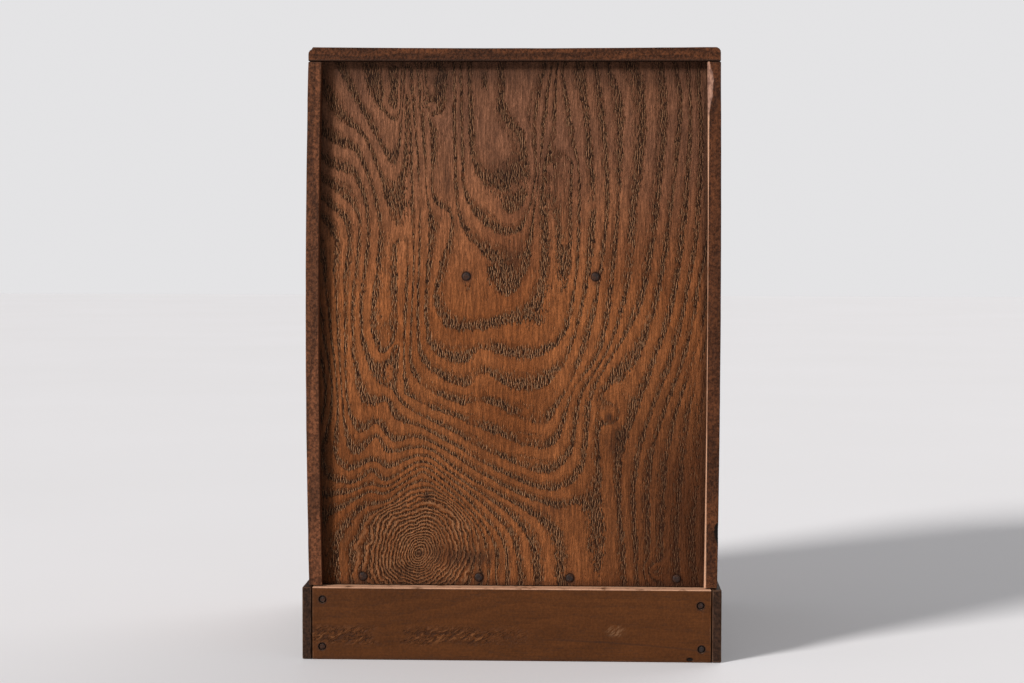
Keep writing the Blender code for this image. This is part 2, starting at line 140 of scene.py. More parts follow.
# The swirl: the ring number and the radius in mm of each uneven circle round the pith.
SWIRL = ((3.5, 25.5), (2.0, 22.0), (0.2, 18.0), (-1.6, 14.5), (-3.9, 10.8), (-6.4, 7.2), (-8.6, 4.2))
SWIRL_RISE = 0.05  # how far each circle's centre lies above the pith, as a share of its radius
PITH_RING = -11.6
KNOTS = ((51, 128, 5.5, 1.5), (74, 46, 5.0, -1.3), (-43, 83, 2.0, -0.5))  # x, z, reach, rings
CARCASS_MIDDLE_X = (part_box("left_side")[0].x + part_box("right_side")[1].x) / 2
LINE_STEP = 4.0  # mm between the points that stand for a smooth line
FIELD_STEP = 1.0  # mm between the points where the ring number is worked out
FIELD_STIFFNESS = 1e-5
FIELD_SPAN = 100.0  # mm, the length that the field's sums are scaled by
FIELD_CHUNK = 4000
PANEL_FOOT = 38.0  # mm


def smooth_line(points):
    """Points about LINE_STEP apart on the Catmull-Rom curve through the given ones."""
    line = np.array(points, float)
    ends = np.vstack([2 * line[0] - line[1], line, 2 * line[-1] - line[-2]])
    made = []
    for a, b, c, d in zip(ends, ends[1:], ends[2:], ends[3:]):
        count = max(1, round(math.dist(b, c) / LINE_STEP))
        for t in np.arange(count) / count:
            straight = 2 * b + (c - a) * t
            bend = (2 * a - 5 * b + 4 * c - d) * t**2 + (3 * b - a - 3 * c + d) * t**3
            made.append((straight + bend) / 2)
    return np.array(made + [line[-1]])


def swirl_arc(radius):
    """The part of an uneven circle round the pith that lies above the panel's foot."""
    centre_z = PITH[1] + SWIRL_RISE * radius
    count = max(8, round(2 * math.pi * radius / LINE_STEP))
    turns = np.arange(count) * 2 * math.pi / count
    uneven = 1 + 0.07 * np.cos(2 * turns - 2.2) + 0.04 * np.cos(5 * turns + 0.6)
    across, up = radius * uneven * np.cos(turns), radius * uneven * np.sin(turns)
    arc = np.stack([PITH[0] + across, centre_z + up], 1)
    return arc[arc[:, 1] > PANEL_FOOT]


def plate(distance_squared):
    """The thin-plate kernel."""
    return distance_squared * np.log(np.maximum(distance_squared, 1e-12)) / 2


def between(first, second):
    """The squared distance from each point of first to each of second."""
    return ((first[:, None] - second[None]) ** 2).sum(-1)


def ring_field(x, z):
    """The growth-ring number at each x and z, in mm: a thin plate bent through the lines."""
    rows = [(ring, smooth_line(points)) for ring, points in GROWTH_LINES]
    rows += [(ring, swirl_arc(radius)) for ring, radius in SWIRL]
    rows.append((PITH_RING, np.array([PITH], float)))
    lines = [line for _, line in rows]
    rings = np.concatenate([np.full(len(line), ring, float) for ring, line in rows])
    knots = np.vstack(lines) / FIELD_SPAN
    count = len(knots)
    sums = np.zeros((count + 3, count + 3))
    sums[:count, :count] = plate(between(knots, knots)) + np.eye(count) * FIELD_STIFFNESS
    sums[:count, count] = sums[count, :count] = 1
    sums[:count, count + 1 :] = knots
    sums[count + 1 :, :count] = knots.T
    weights = np.linalg.solve(sums, np.concatenate([rings, np.zeros(3)]))
    places = np.stack([x, z], 1) / FIELD_SPAN
    found = []
    for start in range(0, len(places), FIELD_CHUNK):
        part = places[start : start + FIELD_CHUNK]
        bent = plate(between(part, knots)) @ weights[:count]
        found.append(bent + weights[count] + part @ weights[count + 1 :])
    rings = np.concatenate(found)
    for knot_x, knot_z, reach, rise in KNOTS:
        rings += rise * np.exp(-((x - knot_x) ** 2 + (z - knot_z) ** 2) / reach**2)
    return rings


# ---------------------------------------------------------------- shader building
def srgb(red, green, blue):
    """A linear colour from 0 to 255 screen values."""
    def linear(value):
        value /= 255
        return value / 12.92 if value <= 0.04045 else ((value + 0.055) / 1.055) ** 2.4

    return (linear(red), linear(green), linear(blue), 1.0)


class Look:
    """One procedural material. Each method adds a node and returns its output."""

    def __init__(self, name):
        self.material = bpy.data.materials.new(name)
        self.material.use_nodes = True
        self.tree = self.material.node_tree
        self.tree.nodes.clear()
        coordinates = self.add("ShaderNodeTexCoord")
        self.place = coordinates.outputs["Object"]
        self.normal = coordinates.outputs["Normal"]

    def add(self, kind, **settings):
        node = self.tree.nodes.new(kind)
        for name, value in settings.items():
            setattr(node, name, value)
        return node

    def feed(self, socket, value):
        if isinstance(value, bpy.types.NodeSocket):
            self.tree.links.new(value, socket)
        else:
            socket.default_value = value

    def calc(self, operation, *values, clamp=False):
        node = self.add("ShaderNodeMath", operation=operation, use_clamp=clamp)
        for socket, value in zip(node.inputs, values):
            self.feed(socket, value)
        return node.outputs[0]

    def plus(self, first, second, clamp=False):
        return self.calc("ADD", first, second, clamp=clamp)

    def minus(self, first, second):
        return self.calc("SUBTRACT", first, second)

    def times(self, first, second, clamp=False):
        return self.calc("MULTIPLY", first, second, clamp=clamp)

    def fit(self, scale, shift=(0, 0, 0), turn=0.0):
        """The place after a shift in metres and a turn in the XZ plane, scaled on each axis."""
        moved = self.add("ShaderNodeVectorMath", operation="ADD")
        self.feed(moved.inputs[0], self.place)
        moved.inputs[1].default_value = shift
        turned = self.add("ShaderNodeMapping")
        self.feed(turned.inputs["Vector"], moved.outputs[0])
        turned.inputs["Rotation"].default_value = (0, turn, 0)
        node = self.add("ShaderNodeVectorMath", operation="MULTIPLY")
        self.feed(node.inputs[0], turned.outputs[0])
        node.inputs[1].default_value = scale
        return node.outputs[0]

    def noise(self, vector, detail=2.0, roughness=0.5, distortion=0.0):
        node = self.add("ShaderNodeTexNoise")
        self.feed(node.inputs["Vector"], vector)
        node.inputs["Scale"].default_value = 1.0
        node.inputs["Detail"].default_value = detail
        node.inputs["Roughness"].default_value = roughness
        node.inputs["Distortion"].default_value = distortion
        return node.outputs["Fac"]

    def step(self, value, low, high):
        """Rises smoothly from 0 at low to 1 at high, or falls where low is the larger."""
        node = self.add("ShaderNodeMapRange", interpolation_type="SMOOTHSTEP")
        self.feed(node.inputs["Value"], value)
        sockets = isinstance(low, bpy.types.NodeSocket) or isinstance(high, bpy.types.NodeSocket)
        rising = sockets or low < high
        self.feed(node.inputs["From Min"], low if rising else high)
        self.feed(node.inputs["From Max"], high if rising else low)
        node.inputs["To Min"].default_value = 0.0 if rising else 1.0
        node.inputs["To Max"].default_value = 1.0 if rising else 0.0
        return node.outputs["Result"]

    def mix(self, factor, first, second):
        node = self.add("ShaderNodeMix", data_type="RGBA")
        self.feed(node.inputs[0], factor)
        self.feed(node.inputs[6], first)
        self.feed(node.inputs[7], second)
        return node.outputs[2]

    def shade(self, colour, value, low, high):
        """The colour times a grey that goes from low to high as value goes from 0 to 1."""
        node = self.add("ShaderNodeMapRange")
        self.feed(node.inputs["Value"], value)
        node.inputs["To Min"].default_value = low
        node.inputs["To Max"].default_value = high
        scaled = self.add("ShaderNodeVectorMath", operation="SCALE")
        self.feed(scaled.inputs[0], colour)
        self.feed(scaled.inputs["Scale"], node.outputs["Result"])
        return scaled.outputs[0]

    def axes(self, vector):
        node = self.add("ShaderNodeSeparateXYZ")
        self.feed(node.inputs[0], vector)
        return node.outputs

    def spot(self, centre, size, inner=0.5):
        """1 inside an ellipsoid and 0 outside it; inner is where it starts to fade."""
        offset = tuple(-c for c in centre)
        scaled = self.fit(tuple(1 / s for s in size), offset)
        length = self.add("ShaderNodeVectorMath", operation="LENGTH")
        self.feed(length.inputs[0], scaled)
        return self.step(length.outputs["Value"], 1.0, inner)

    def arris(self, low, high):
        """The distance in metres from the nearest arris of a box."""
        gaps = []
        for place, least, most in zip(self.axes(self.place), low, high):
            under = self.calc("SUBTRACT", place, least)
            over = self.calc("SUBTRACT", most, place)
            gaps.append(self.calc("MAXIMUM", self.calc("MINIMUM", under, over), 0.0))
        a, b, c = gaps
        least, most = self.calc("MINIMUM", a, b), self.calc("MAXIMUM", a, b)
        return self.calc("MAXIMUM", least, self.calc("MINIMUM", most, c))

    def surface(self, colour, roughness, height, relief, metallic=0.0, specular=0.1):
        """Ends the tree: relief is the height in metres that a height of 1 stands for."""
        bump = self.add("ShaderNodeBump")
        bump.inputs["Distance"].default_value = relief
        bump.inputs["Strength"].default_value = 1.0
        self.feed(bump.inputs["Height"], height)
        shader = self.add("ShaderNodeBsdfPrincipled")
        self.feed(shader.inputs["Base Color"], colour)
        self.feed(shader.inputs["Roughness"], roughness)
        shader.inputs["Metallic"].default_value = metallic
        shader.inputs["Specular IOR Level"].default_value = specular
        self.feed(shader.inputs["Normal"], bump.outputs[0])
        output = self.add("ShaderNodeOutputMaterial")
        self.feed(output.inputs[0], shader.outputs[0])
        return self.material


# ---------------------------------------------------------------- woods
SPOT_DEPTH = 9 * MM  # how far a mark's ellipsoid reaches into the wood
# Bare wood; also used as a painted highlight on the plinth's top ledge and on the right side's inner
# arris.
RAW_WOOD_AND_HIGHLIGHT = srgb(214, 164, 132)
# Dark dirt; also used as painted shade in the panel's recess and in the pits of the torn grain.
GRIME_AND_SHADE = srgb(44, 30, 23)
IRON_STAIN = srgb(38, 30, 28)


class Wood:
    """One kind of board: its tones, its ring width in mm and the strength of each feature."""

    def __init__(
        self, light, dark, ring=5.0, figure=0.5, pores=0.5, fibre=0.3, speckle=0.0, worn=0.3, rough=0.55
    ):
        self.light, self.dark = srgb(*light), srgb(*dark)
        self.ring, self.figure, self.pores, self.fibre = ring, figure, pores, fibre
        self.speckle, self.worn, self.rough = speckle, worn, rough


# The first two woods are one wood: the first, for the left side board, is painted lighter for the
# stronger light on that side; the second, for the right side and the top board, is darker.
LEFT_SIDE_LIT = Wood((99, 59, 37), (54, 32, 19), figure=0.55, ring=4.5, pores=0.4, speckle=1.0, worn=0.06)
CASE = Wood((80, 45, 25), (42, 23, 13), figure=0.5, ring=4.5, pores=0.4, speckle=1.0, worn=0.06)
PLINTH = Wood(
    (81, 45, 19), (62, 34, 14), figure=0.3, ring=9.0, pores=0.25, fibre=0.26,
    speckle=0.28, worn=0.08, rough=0.5,
)
PLINTH_END = Wood((56, 34, 21), (30, 19, 12), figure=0.4, ring=3.5, pores=0.4, speckle=0.9, worn=0.1)
FRONT = Wood((126, 76, 46), (66, 39, 24), ring=7.0, pores=0.6, rough=0.45)
SHELF = Wood((104, 62, 37), (60, 36, 21), ring=6.0, pores=0.5, worn=0.2)
INSIDE = Wood((166, 124, 84), (122, 86, 56), ring=6.0, pores=0.3, rough=0.65)
CORE = Wood((136, 96, 64), (94, 64, 42), ring=6.0, pores=0.3, rough=0.65)


def wood_look(name, low, high, grain, wood, seed, extra=None):
    """A board's material: growth rings, fibre, pores, handling marks and worn arrises."""
    look = Look(name)
    axis = GRAIN_AXES[grain]

    def grained(along, across):
        size = [1 / (across * MM)] * 3
        size[axis] = 1 / (along * MM)
        return look.fit(tuple(size), (0.11 * seed, 0.07 * seed, 0.05 * seed))

    def even(size):
        return grained(size, size)

    across = [place for i, place in enumerate(look.axes(look.place)) if i != axis]
    slope = math.radians(35 + 29 * seed)
    lean = look.times(across[0], math.cos(slope) / (wood.ring * MM))
    lean = look.plus(lean, look.times(across[1], math.sin(slope) / (wood.ring * MM)))
    sway = look.times(look.noise(grained(150, 32), 2.0), 7.0)
    ripple = look.times(look.noise(grained(22, 6), 2.0), 0.5)
    rings = look.calc("FRACT", look.plus(look.plus(lean, sway), ripple))
    late = look.times(look.step(rings, 0.05, 0.85), look.step(rings, 1.0, 0.9))
    fibre = look.noise(grained(26, 0.55), 3.0, 0.6)
    blotch = look.noise(even(38), 3.0, 0.55)
    rub = look.noise(even(7), 4.0, 0.65)
    grit = look.step(look.noise(even(1.3), 3.0, 0.7), 0.32, 0.68)
    pores = look.noise(grained(4.2, 0.42), 1.0)
    limit = look.minus(0.70, look.times(late, 0.10))
    pores = look.step(pores, limit, look.plus(limit, 0.05))

    colour = look.mix(look.times(late, wood.figure), wood.light, wood.dark)
    colour = look.mix(look.times(pores, wood.pores), colour, GRIME_AND_SHADE)
    colour = look.shade(colour, fibre, 1.0 - wood.fibre, 1.0 + wood.fibre)
    colour = look.shade(colour, blotch, 0.72, 1.28)
    colour = look.shade(colour, rub, 0.86, 1.14)
    facing = look.calc("ABSOLUTE", look.axes(look.normal)[axis])
    end = look.step(facing, 0.75, 0.95)
    colour = look.mix(look.times(end, 0.42), colour, GRIME_AND_SHADE)
    speckled = look.shade(colour, grit, 1.0 - 0.55 * wood.speckle, 1.0 + 0.55 * wood.speckle)
    behind = look.step(look.calc("ABSOLUTE", look.axes(look.normal)[1]), 0.5, 0.9)
    colour = look.mix(look.plus(look.times(behind, 0.75), 0.25), colour, speckled)

    near = look.arris(low, high)
    reach = look.times(look.noise(even(9), 3.0, 0.7), 2.2 * MM)
    reach = look.minus(reach, 0.55 * MM)
    handled = look.step(look.minus(reach, near), -0.2 * MM, 0.25 * MM)
    colour = look.mix(look.times(handled, 0.72 * wood.worn), colour, RAW_WOOD_AND_HIGHLIGHT)
    height = look.plus(look.times(fibre, 0.5), look.times(rub, 0.6))
    pitted = look.plus(look.times(behind, 0.9 * wood.speckle), 0.2)
    height = look.plus(height, look.times(grit, pitted))
    height = look.minus(height, look.times(pores, 0.9 * wood.pores))
    rough = look.plus(look.times(rub, 0.24), wood.rough - 0.1)
    rough = look.plus(rough, look.times(handled, 0.1), clamp=True)
    if extra:
        colour, rough, height = extra(look, colour, rough, height)
    return look.surface(colour, rough, height, 0.16 * MM)


TORN_SLOPE = math.radians(32)
SCUFF_SLOPE = math.radians(40)
SCUFF = (54 * MM, 16 * MM)  # x and z
NOTCH = (92.5 * MM, 1.6 * MM)  # x and z
SWEEP_HEIGHT = 11.5 * MM
SWEEP_CURVE = 0.55  # how fast the dark sweep falls away to the right


def plinth_marks(look, colour, rough, height):
    """Torn grain along the lower left, a pale scuff and a dark sweep at the lower right; painted
    highlights on the torn ridges and the top ledge, and painted shade added to the dirt in the pits and
    the stain round the nails.
    """
    x, _, z = look.axes(look.place)
    low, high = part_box("plinth_back")
    torn = look.times(look.step(z, 7 * MM, 11 * MM), look.step(z, 19 * MM, 13 * MM))
    torn = look.times(torn, look.step(x, 14 * MM, -16 * MM))
    stretch = (1 / (3.6 * MM), 1 / (3.6 * MM), 1 / (1.2 * MM))
    chatter = look.noise(look.fit(stretch, turn=TORN_SLOPE), 2.0, 0.6, 0.5)
    broken = look.times(torn, look.step(look.noise(look.fit((46, 46, 130)), 2.0), 0.42, 0.54))
    # The torn grain's pits get dirt and painted shade, and its ridges a painted highlight, as if lit
    # from the upper left.
    pit = look.times(look.step(chatter, 0.53, 0.60), broken)
    ridge_highlight = look.times(look.step(chatter, 0.46, 0.38), broken)
    colour = look.mix(look.times(pit, 0.5), colour, GRIME_AND_SHADE)
    colour = look.mix(look.times(ridge_highlight, 0.3), colour, srgb(150, 98, 60))
    height = look.minus(height, look.times(pit, 5.0))
    height = look.plus(height, look.times(ridge_highlight, 3.0))
    # Painted highlight: the plinth's top ledge is paled as if lit from above.
    ledge = look.step(look.axes(look.normal)[2], 0.5, 0.9)
    top = look.calc("MAXIMUM", ledge, look.step(z, high.z - 0.75 * MM, high.z - 0.25 * MM))
    uneven = look.step(look.noise(look.fit((120, 120, 300)), 3.0, 0.7), 0.2, 0.5)
    colour = look.mix(look.times(look.times(top, uneven), 0.85), colour, RAW_WOOD_AND_HIGHLIGHT)
    for node in PLINTH_NAILS:
        first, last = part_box(node)
        middle = (first + last) / 2
        # Iron stain round each plinth nail, laid on strongly as painted shade of its sunk hole.
        nail_stain_and_shade = look.spot((middle.x, low.y, middle.z), (2.7 * MM, SPOT_DEPTH, 2.7 * MM), 0.72)
        colour = look.mix(look.times(nail_stain_and_shade, 0.75), colour, IRON_STAIN)
    scuff = look.spot((SCUFF[0], low.y, SCUFF[1]), (7 * MM, SPOT_DEPTH, 4 * MM), 0.2)
    scraped = look.noise(look.fit((260, 260, 900), turn=SCUFF_SLOPE), 3.0, 0.7)
    scuff = look.times(scuff, look.step(scraped, 0.44, 0.62))
    colour = look.mix(look.times(scuff, 0.27), colour, srgb(172, 134, 100))
    climb = look.times(look.calc("POWER", look.calc("MAXIMUM", x, 0.0), 2.0), SWEEP_CURVE)
    sweep = look.plus(z, climb)
    gap = look.calc("ABSOLUTE", look.minus(sweep, SWEEP_HEIGHT))
    line = look.times(look.step(gap, 0.8 * MM, 0.0), look.step(x, 6 * MM, 30 * MM))
    colour = look.mix(look.times(line, 0.4), colour, GRIME_AND_SHADE)
    notch = look.spot((NOTCH[0], low.y, NOTCH[1]), (2.0 * MM, SPOT_DEPTH, 1.2 * MM), 0.6)
    colour = look.mix(notch, colour, srgb(18, 12, 9))
    height = look.minus(height, look.times(notch, 5.0))
    under = look.step(z, 3.0 * MM, 0.0)
    colour = look.mix(look.times(under, 0.35), colour, GRIME_AND_SHADE)
    return colour, rough, height


def joint_grime(look, colour, rough, height):
    """Dirt in the joint under the top board."""
    z = look.axes(look.place)[2]
    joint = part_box("top_board")[0].z
    depth = look.calc("ABSOLUTE", look.minus(z, joint))
    colour = look.mix(look.times(look.step(depth, 1.1 * MM, 0.3 * MM), 0.8), colour, GRIME_AND_SHADE)
    return colour, rough, height


def right_marks(look, colour, rough, height):
    """The arris beside the panel: rubbed down to bare wood, and paled as a painted highlight where the
    key light catches it.
    """
    colour, rough, height = joint_grime(look, colour, rough, height)
    x, y, _ = look.axes(look.place)
    low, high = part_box("right_side")
    rubbed = look.noise(look.fit((60, 60, 60)), 4.0, 0.7)
    reach = look.times(rubbed, 0.5 * MM)
    inner = look.minus(x, high.x - SIDE_THICKNESS)
    behind = look.minus(y, low.y)
    near = look.calc("MAXIMUM", inner, look.times(behind, 0.12))
    # Bare wood along the inner arris, laid on strongly as a painted highlight of the lit inner face.
    bare_and_highlight = look.step(look.minus(reach, near), -0.1 * MM, 0.2 * MM)
    colour = look.mix(look.times(bare_and_highlight, 0.72), colour, RAW_WOOD_AND_HIGHLIGHT)
    return colour, rough, height


PANEL_LIGHT = srgb(146, 87, 48)
PANEL_WARM = srgb(118, 66, 32)
PANEL_DARK = srgb(66, 35, 16)
PANEL_PORE = srgb(30, 15, 8)
# The pale tone below is a painted highlight: the lit flank beside each pore, and the lit ridges in the
# swirl.
PANEL_HIGHLIGHT = srgb(216, 164, 120)
# The dark tone below is painted shade, for the light falling away from the panel's middle left.
FALLOFF_SHADE = srgb(54, 28, 14)
DUST = srgb(112, 88, 76)
VESSELS = (1700, 1700, 330)  # noise cells in a metre, on each axis
HIGHLIGHT_SHIFT = 0.3 * MM  # how far to the right of its vessel each painted highlight lies


def on_panel(x, z):
    """A place on the panel's back, from millimetres as the growth lines have them."""
    return (CARCASS_MIDDLE_X + x * MM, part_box("back_panel")[0].y, z * MM)


# The dark marks on the panel: the middle and the half sizes in mm, as the growth lines are,
# and the strength.
PANEL_MARKS = (
    (PITH, (3.6, 2.6), 0.9),
    ((-22.0, 52.0), (26.0, 8.0), 0.72),
    ((-36.0, 57.0), (13.0, 6.0), 0.4),
    ((-58.0, 45.0), (22.0, 6.5), 0.6),
    ((-45.0, 84.0), (4.5, 3.5), 0.85),
    ((51.0, 126.0), (3.8, 4.2), 0.95),
    ((54.0, 113.0), (8.0, 13.0), 0.6),
    ((18.0, 78.0), (20.0, 9.0), 0.35),
    ((-38.0, 300.0), (8.0, 16.0), 0.45),
    ((-4.0, 254.0), (14.0, 13.0), 0.42),
    ((-27.0, 228.0), (6.0, 8.0), 0.4),
    ((-34.5, 249.0), (4.0, 18.0), 0.5),
    ((-61.0, 263.0), (4.5, 8.0), 0.42),
    ((-16.0, 303.0), (8.0, 7.0), 0.4),
    ((0.0, 208.0), (12.0, 12.0), 0.36),
)


def panel_look(name):
    """Ring-porous wood: each ring starts with a sharp row of open vessels that thins out."""
    look = Look(name)
    ring = look.add("ShaderNodeAttribute", attribute_name="ring").outputs["Fac"]
    calm = look.step(ring, 8.0, 3.5)
    bulge = look.noise(look.fit((75, 75, 75), (0.4, 0, 0.1)), 3.0, 0.6)
    bulge = look.times(look.minus(bulge, 0.5), look.times(calm, 2.2))
    ring = look.plus(ring, bulge)
    ripple = look.noise(look.fit((260, 260, 260), (0.2, 0, 0.5)), 2.0, 0.5)
    ripple = look.times(look.minus(ripple, 0.5), look.times(calm, 1.5))
    ring = look.plus(ring, ripple)
    wide = look.noise(look.fit((230, 230, 170)), 2.0, 0.6)
    jagged = look.noise(look.fit(VESSELS), 2.0, 0.6)
    ring = look.plus(ring, look.times(look.minus(wide, 0.5), 0.34))
    rough_edge = look.times(look.minus(jagged, 0.5), 0.46)
    ring = look.plus(ring, rough_edge)
    age = look.calc("FRACT", ring)
    early = look.step(age, 0.60, 0.18)
    early = look.times(early, look.step(age, 0.0, 0.03))
    drift = look.noise(look.fit((70, 70, 22), (0.3, 0, 0.2)), 2.0)
    early = look.times(early, look.plus(look.step(drift, 0.2, 0.5), 0.25), clamp=True)
    second = look.calc("FRACT", look.plus(look.times(ring, 2.0), 0.1))
    second = look.times(look.step(second, 0.34, 0.1), look.step(second, 0.0, 0.05))
    hatched = look.step(look.noise(look.fit((34, 34, 11), (0.6, 0, 0.7)), 2.0), 0.42, 0.6)
    second = look.times(look.times(second, hatched), 0.7)
    early = look.calc("MAXIMUM", early, look.times(second, look.minus(1.0, calm)))
    rim = look.times(look.step(age, 0.14, 0.05), look.step(age, 0.0, 0.03))

    vessel = look.noise(look.fit(VESSELS, (0.07, 0, 0.02)), 2.0, 0.6, 0.3)
    limit = look.minus(0.65, look.times(early, 0.20))
    open_pores = look.step(vessel, limit, look.plus(limit, 0.15))
    # Painted highlight: a pale fleck just right of each pore, where its wall would catch the key light
    # from the left.
    beside = look.noise(look.fit(VESSELS, (0.07 - HIGHLIGHT_SHIFT, 0, 0.02)), 2.0, 0.6, 0.3)
    pore_highlight = look.step(beside, limit, look.plus(limit, 0.15))
    pore_highlight = look.times(pore_highlight, look.minus(1.0, open_pores))
    fine = look.step(look.noise(look.fit((1000, 1000, 130), (0.02, 0, 0.4)), 4.0, 0.7), 0.3, 0.7)
    streak = look.noise(look.fit((420, 420, 14), (0.5, 0, 0.1)), 3.0, 0.6)
    cloud = look.noise(look.fit((26, 26, 17), (0.9, 0, 0.3)), 3.0, 0.5)
    grit = look.step(look.noise(look.fit((1000, 1000, 800)), 3.0, 0.75), 0.28, 0.72)

    colour = look.mix(look.step(cloud, 0.3, 0.7), PANEL_LIGHT, PANEL_WARM)
    x, _, z = look.axes(look.place)
    dust = look.times(look.step(z, 170 * MM, 280 * MM), 0.42)
    colour = look.mix(dust, colour, DUST)
    colour = look.shade(colour, streak, 0.70, 1.30)
    colour = look.shade(colour, fine, 0.62, 1.36)
    broken = look.plus(look.times(fine, -0.3), 0.8)
    band = look.plus(look.times(early, broken), look.times(rim, 0.25), clamp=True)
    colour = look.mix(band, colour, PANEL_DARK)
    groove = look.times(look.step(age, 0.6, 0.25), look.step(age, 0.0, 0.12))
    groove = look.times(groove, calm)
    # Painted highlight: the ridges between the ring lines in the swirl are paled as if lit from the
    # upper left.
    ridge_highlight = look.times(look.step(age, 0.55, 0.8), look.step(age, 1.0, 0.9))
    ridge_highlight = look.times(ridge_highlight, calm)
    patchy = look.step(look.noise(look.fit((90, 90, 60), (0.8, 0, 0.2)), 2.0), 0.3, 0.62)
    groove_tone = look.plus(look.times(patchy, 0.4), 0.35)
    ridge_highlight_tone = look.plus(look.times(patchy, 0.22), 0.08)
    colour = look.mix(look.times(groove, groove_tone), colour, PANEL_DARK)
    colour = look.mix(look.times(ridge_highlight, ridge_highlight_tone), colour, PANEL_HIGHLIGHT)
    scattered = look.plus(look.times(early, 0.4), 0.5)
    scattered = look.times(scattered, look.minus(1.0, look.times(calm, 0.3)))
    pore_highlight_tone = look.plus(look.times(look.step(z, 240 * MM, 140 * MM), 0.25), 0.5)
    colour = look.mix(look.times(pore_highlight, look.times(scattered, pore_highlight_tone)), colour, PANEL_HIGHLIGHT)
    colour = look.mix(look.times(open_pores, scattered), colour, PANEL_PORE)
    colour = look.shade(colour, grit, 0.80, 1.20)

    for centre, size, amount in PANEL_MARKS:
        mark = look.spot(on_panel(*centre), (size[0] * MM, SPOT_DEPTH, size[1] * MM), 0.1)
        mark = look.times(mark, look.step(look.noise(look.fit((700, 700, 150)), 3.0), 0.3, 0.55))
        colour = look.mix(look.times(mark, amount), colour, GRIME_AND_SHADE)
    for node in PANEL_NAILS:
        low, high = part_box(node)
        middle = (low + high) / 2
        stain = look.spot((middle.x, low.y, middle.z), (4.2 * MM, SPOT_DEPTH, 5.0 * MM), 0.45)
        colour = look.mix(look.times(stain, 0.4), colour, IRON_STAIN)
        rust = look.spot((middle.x, low.y, middle.z), (2.9 * MM, SPOT_DEPTH, 2.9 * MM), 0.78)
        colour = look.mix(look.times(rust, 0.85), colour, srgb(24, 16, 13))

    # Painted shade: the panel is darkened along its left, right, foot and head, for the shade in the
    # corners of the recess and the shadow the rims cast on it.
    left = look.step(x, CARCASS_MIDDLE_X - 90 * MM, CARCASS_MIDDLE_X - 99 * MM)
    right = look.step(x, CARCASS_MIDDLE_X + 96 * MM, CARCASS_MIDDLE_X + 99 * MM)
    foot = look.step(z, 43 * MM, 38 * MM)
    head = look.step(z, 288 * MM, 309 * MM)
    edge = look.calc("MAXIMUM", look.calc("MAXIMUM", left, right), look.calc("MAXIMUM", foot, head))
    colour = look.mix(look.times(edge, 0.55), colour, GRIME_AND_SHADE)
    # Painted shade for the fall-off of the light: the panel is darkened at the top, towards the right
    # and most at the lower right.
    falloff_shade = look.times(look.step(z, 215 * MM, 300 * MM), 0.13)
    corner = look.times(look.step(x, 5 * MM, 95 * MM), look.step(z, 190 * MM, 60 * MM))
    falloff_shade = look.plus(falloff_shade, look.times(corner, 0.42))
    falloff_shade = look.plus(falloff_shade, look.times(look.step(x, 10 * MM, 99 * MM), 0.18))
    falloff_shade = look.plus(falloff_shade, look.times(look.step(z, 200 * MM, 110 * MM), 0.18))
    colour = look.mix(falloff_shade, colour, FALLOFF_SHADE)

    height = look.minus(1.0, look.times(open_pores, 1.1))
    height = look.minus(height, look.times(early, 0.35))
    height = look.minus(height, look.times(groove, 0.6))
    height = look.plus(height, look.times(fine, 0.7))
    height = look.plus(height, look.times(grit, 0.35))
    rough = look.plus(0.44, look.times(early, 0.12))
    rough = look.plus(rough, look.times(streak, 0.16))
    return look.surface(colour, rough, height, 0.58 * MM, specular=0.08)


# ---------------------------------------------------------------- metals and the floor
def iron_look(name):
    """Old cut nails: dark scale, rubbed bright in places, with brown rust."""
    look = Look(name)
    pits = look.noise(look.fit((1400, 1400, 1400)), 4.0, 0.65)
    patch = look.noise(look.fit((420, 420, 420), (0.2, 0.1, 0.4)), 3.0)
    colour = look.mix(look.step(patch, 0.4, 0.62), srgb(50, 42, 40), srgb(66, 44, 34))
    colour = look.mix(look.step(pits, 0.56, 0.72), colour, srgb(84, 74, 70))
    rough = look.plus(0.42, look.times(pits, 0.3))
    return look.surface(colour, rough, pits, 0.22 * MM, metallic=0.4)


def brass_look(name):
    """Handled brass: patches of brown patina, brighter towards the knob's tip."""
    look = Look(name)
    patina = look.noise(look.fit((300, 300, 300)), 4.0, 0.6)
    scratch = look.noise(look.fit((2400, 200, 2400)), 2.0)
    tip = look.step(look.axes(look.place)[1], 88 * MM, 99 * MM)
    bright = look.times(look.step(patina, 0.68, 0.4), look.plus(tip, 0.25), clamp=True)
    colour = look.mix(bright, srgb(96, 72, 42), srgb(178, 142, 82))
    rough = look.minus(0.52, look.times(bright, 0.22))
    height = look.plus(patina, look.times(scratch, 0.4))
    return look.surface(colour, rough, height, 0.05 * MM, metallic=1.0)


def floor_look(name):
    """Pale matt paper with a faint tooth."""
    look = Look(name)
    tone = look.noise(look.fit((2.2, 2.2, 2.2)), 3.0)
    tooth = look.noise(look.fit((900, 900, 900)), 2.0)
    colour = look.mix(tone, srgb(230, 228, 229), srgb(235, 233, 235))
    rough = look.plus(0.8, look.times(tone, 0.1))
    return look.surface(colour, rough, tooth, 0.02 * MM, specular=0.2)


# ---------------------------------------------------------------- meshes
def object_of(name, bm, materials):
    """A smooth-shaded object made from bm, which keeps its arrises crisp."""
    mesh = bpy.data.meshes.new(name)
    bm.to_mesh(mesh)
    bm.free()
    mesh.update()
    for material in materials:
        mesh.materials.append(material)
    mesh.shade_smooth()
    mesh.set_sharp_from_angle(angle=math.radians(38))
    obj = bpy.data.objects.new(name, mesh)
    bpy.context.scene.collection.objects.link(obj)
    return obj


def even_normals(obj):
    """Keeps the shading of broad flat faces flat beside their rounded arrises."""
    modifier = obj.modifiers.new("normals", "WEIGHTED_NORMAL")
    modifier.keep_sharp = True
    modifier.weight = 100


